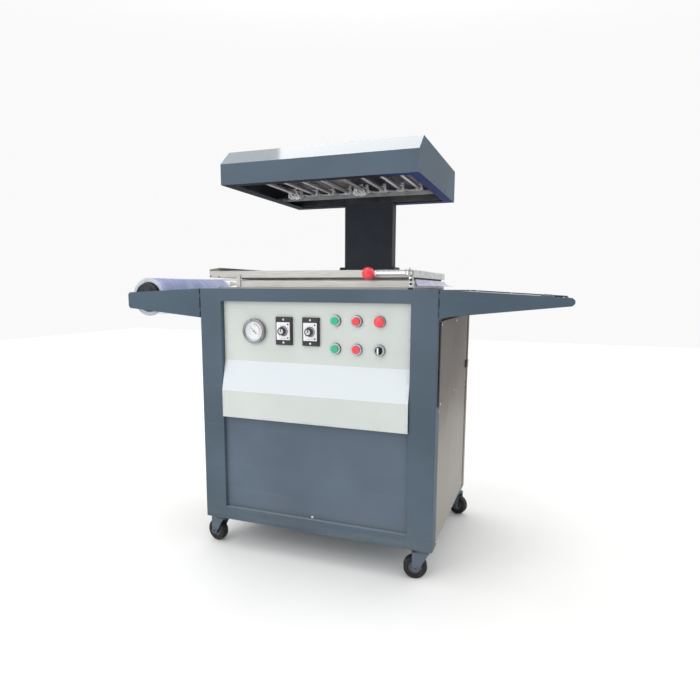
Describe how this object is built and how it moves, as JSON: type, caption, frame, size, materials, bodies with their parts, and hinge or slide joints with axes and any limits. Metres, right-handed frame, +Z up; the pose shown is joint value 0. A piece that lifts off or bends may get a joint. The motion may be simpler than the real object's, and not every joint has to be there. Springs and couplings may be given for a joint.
{
  "type": "skin packaging machine",
  "caption": "Casters-mounted cabinet with a vacuum table, a film roll on side arms, a lifting film clamp and a rod-heater hood on a rear column, for sealing film over goods on card.",
  "frame": {"origin": "middle of the whole machine's box, on the floor under the casters", "axes": "+X to the operator's right along the film, +Y to the back, +Z up"},
  "size_m": [1.279, 0.573, 1.172],
  "materials": {
    "slate_paint": "satin powder coat, slate blue-grey",
    "panel_paint": "satin off-white paint",
    "side_paint": "satin warm grey paint",
    "deck_steel": "fine brushed",
    "clamp_steel": "brushed stainless, slightly worn",
    "dark_paint": "satin dark blue-black paint",
    "platen_aluminium": "bead blasted",
    "reflector": "heat-dulled sheet",
    "rail_steel": "zinc plated",
    "ceramic": "white steatite blocks",
    "quartz": "milky quartz tube, ceramic caps",
    "chrome": "polished",
    "black_plastic": "moulded, slight sheen",
    "white_dial": "gauge case and dial",
    "green_cap": "glossy green",
    "red_cap": "glossy red",
    "knob_red": "glossy red ball",
    "film": "clear film with a pale lavender cast",
    "gasket_rubber": "black sealing rubber",
    "guide_rubber": "dark ribbed rubber",
    "wheel_rubber": "dark grey tread with grey hub",
    "shaft_steel": "turned steel",
    "plated_steel": "zinc plated"
  },
  "bodies": {
    "root": {"front_frame": "slate_paint", "rear_frame": "side_paint", "left_side_panel": "side_paint", "right_side_panel": "side_paint", "rear_panel": "side_paint", "top_deck": "deck_steel", "floor_pan": "slate_paint", "control_panel": "panel_paint", "lower_front_panel": "slate_paint", "side_cover": "side_paint", "left_arms": "slate_paint", "right_arms": "slate_paint", "outfeed_table": "deck_steel", "cross_rod": "shaft_steel", "roll_shaft": "shaft_steel", "film_web": "film", "column": "dark_paint", "hood_shell": "slate_paint", "heater_tray": "reflector", "heater_rails": "rail_steel", "heater_clips": "ceramic", "heater_tubes": "quartz", "vacuum_platen": "platen_aluminium", "gauge": "white_dial", "timer_bodies": "black_plastic", "button_bezels": "chrome", "indicator_lamp": "red_cap", "caster_plates": "plated_steel"},
    "film_carriage": {"lift_carriage": "dark_paint", "lower_film_frame": "clamp_steel", "lower_gasket": "gasket_rubber", "film_sheet": "film"},
    "upper_clamp": {"upper_film_frame": "clamp_steel", "upper_gasket": "gasket_rubber", "film_guide": "guide_rubber"},
    "lever": {"clamp_lever": "chrome", "lever_knob": "knob_red"},
    "film_roll": {"film_wound": "film", "roll_flanges": "black_plastic"},
    "green_upper": {"green_button_upper": "green_cap"},
    "red_upper": {"red_button_upper": "red_cap"},
    "green_lower": {"green_button_lower": "green_cap"},
    "red_lower": {"red_button_lower": "red_cap"},
    "selector": {"selector_knob": "black_plastic"},
    "left_dial": {"left_dial_knob": "black_plastic"},
    "right_dial": {"right_dial_knob": "black_plastic"},
    "fork_front_left": {"caster_fork_front_left": "slate_paint"},
    "wheel_front_left": {"caster_wheel_front_left": "wheel_rubber"},
    "fork_front_right": {"caster_fork_front_right": "slate_paint"},
    "wheel_front_right": {"caster_wheel_front_right": "wheel_rubber"},
    "fork_rear_left": {"caster_fork_rear_left": "slate_paint"},
    "wheel_rear_left": {"caster_wheel_rear_left": "wheel_rubber"},
    "fork_rear_right": {"caster_fork_rear_right": "slate_paint"},
    "wheel_rear_right": {"caster_wheel_rear_right": "wheel_rubber"}
  },
  "joints": [
    {"name": "frame_lift", "type": "slide", "parent": "root", "child": "film_carriage", "axis": [0, 0, 1], "range_m": [0, 0.2]},
    {"name": "clamp_hinge", "type": "hinge", "parent": "film_carriage", "child": "upper_clamp", "pos_m": [0, 0.1805, 0.809], "axis": [1, 0, 0], "range_deg": [-25, 0]},
    {"name": "lever_pivot", "type": "hinge", "parent": "upper_clamp", "child": "lever", "pos_m": [0.2485, -0.2705, 0.824], "axis": [0, 0, 1], "range_deg": [0, 90]},
    {"name": "roll_spin", "type": "hinge", "parent": "root", "child": "film_roll", "pos_m": [-0.5815, -0.0425, 0.756], "axis": [0, 1, 0], "continuous": true},
    {"name": "green_upper_press", "type": "slide", "parent": "root", "child": "green_upper", "axis": [0, 1, 0], "range_m": [0, 0.002], "stiffness_N_per_m": 400},
    {"name": "red_upper_press", "type": "slide", "parent": "root", "child": "red_upper", "axis": [0, 1, 0], "range_m": [0, 0.002], "stiffness_N_per_m": 400},
    {"name": "green_lower_press", "type": "slide", "parent": "root", "child": "green_lower", "axis": [0, 1, 0], "range_m": [0, 0.002], "stiffness_N_per_m": 400},
    {"name": "red_lower_press", "type": "slide", "parent": "root", "child": "red_lower", "axis": [0, 1, 0], "range_m": [0, 0.002], "stiffness_N_per_m": 400},
    {"name": "selector_turn", "type": "hinge", "parent": "root", "child": "selector", "pos_m": [0.17, -0.253, 0.6235], "axis": [0, -1, 0], "range_deg": [-45, 45]},
    {"name": "left_dial_turn", "type": "hinge", "parent": "root", "child": "left_dial", "pos_m": [-0.1075, -0.253, 0.667], "axis": [0, 1, 0], "range_deg": [0, 270]},
    {"name": "right_dial_turn", "type": "hinge", "parent": "root", "child": "right_dial", "pos_m": [-0.026, -0.253, 0.667], "axis": [0, 1, 0], "range_deg": [0, 270]},
    {"name": "swivel_front_left", "type": "hinge", "parent": "root", "child": "fork_front_left", "pos_m": [-0.3425, -0.2305, 0.092], "axis": [0, 0, 1], "continuous": true},
    {"name": "roll_front_left", "type": "hinge", "parent": "fork_front_left", "child": "wheel_front_left", "pos_m": [-0.36206, -0.22634, 0.0325], "axis": [-0.2079, -0.9781, 0], "continuous": true},
    {"name": "swivel_front_right", "type": "hinge", "parent": "root", "child": "fork_front_right", "pos_m": [0.2935, -0.2305, 0.092], "axis": [0, 0, 1], "continuous": true},
    {"name": "roll_front_right", "type": "hinge", "parent": "fork_front_right", "child": "wheel_front_right", "pos_m": [0.27418, -0.23568, 0.0325], "axis": [0.2588, -0.9659, 0], "continuous": true},
    {"name": "swivel_rear_left", "type": "hinge", "parent": "root", "child": "fork_rear_left", "pos_m": [-0.3425, 0.2495, 0.092], "axis": [0, 0, 1], "continuous": true},
    {"name": "roll_rear_left", "type": "hinge", "parent": "fork_rear_left", "child": "wheel_rear_left", "pos_m": [-0.36063, 0.24105, 0.0325], "axis": [0.4226, -0.9063, 0], "continuous": true},
    {"name": "swivel_rear_right", "type": "hinge", "parent": "root", "child": "fork_rear_right", "pos_m": [0.2935, 0.2495, 0.092], "axis": [0, 0, 1], "continuous": true},
    {"name": "roll_rear_right", "type": "hinge", "parent": "fork_rear_right", "child": "wheel_rear_right", "pos_m": [0.31252, 0.24332, 0.0325], "axis": [0.309, 0.9511, 0], "continuous": true}
  ]
}
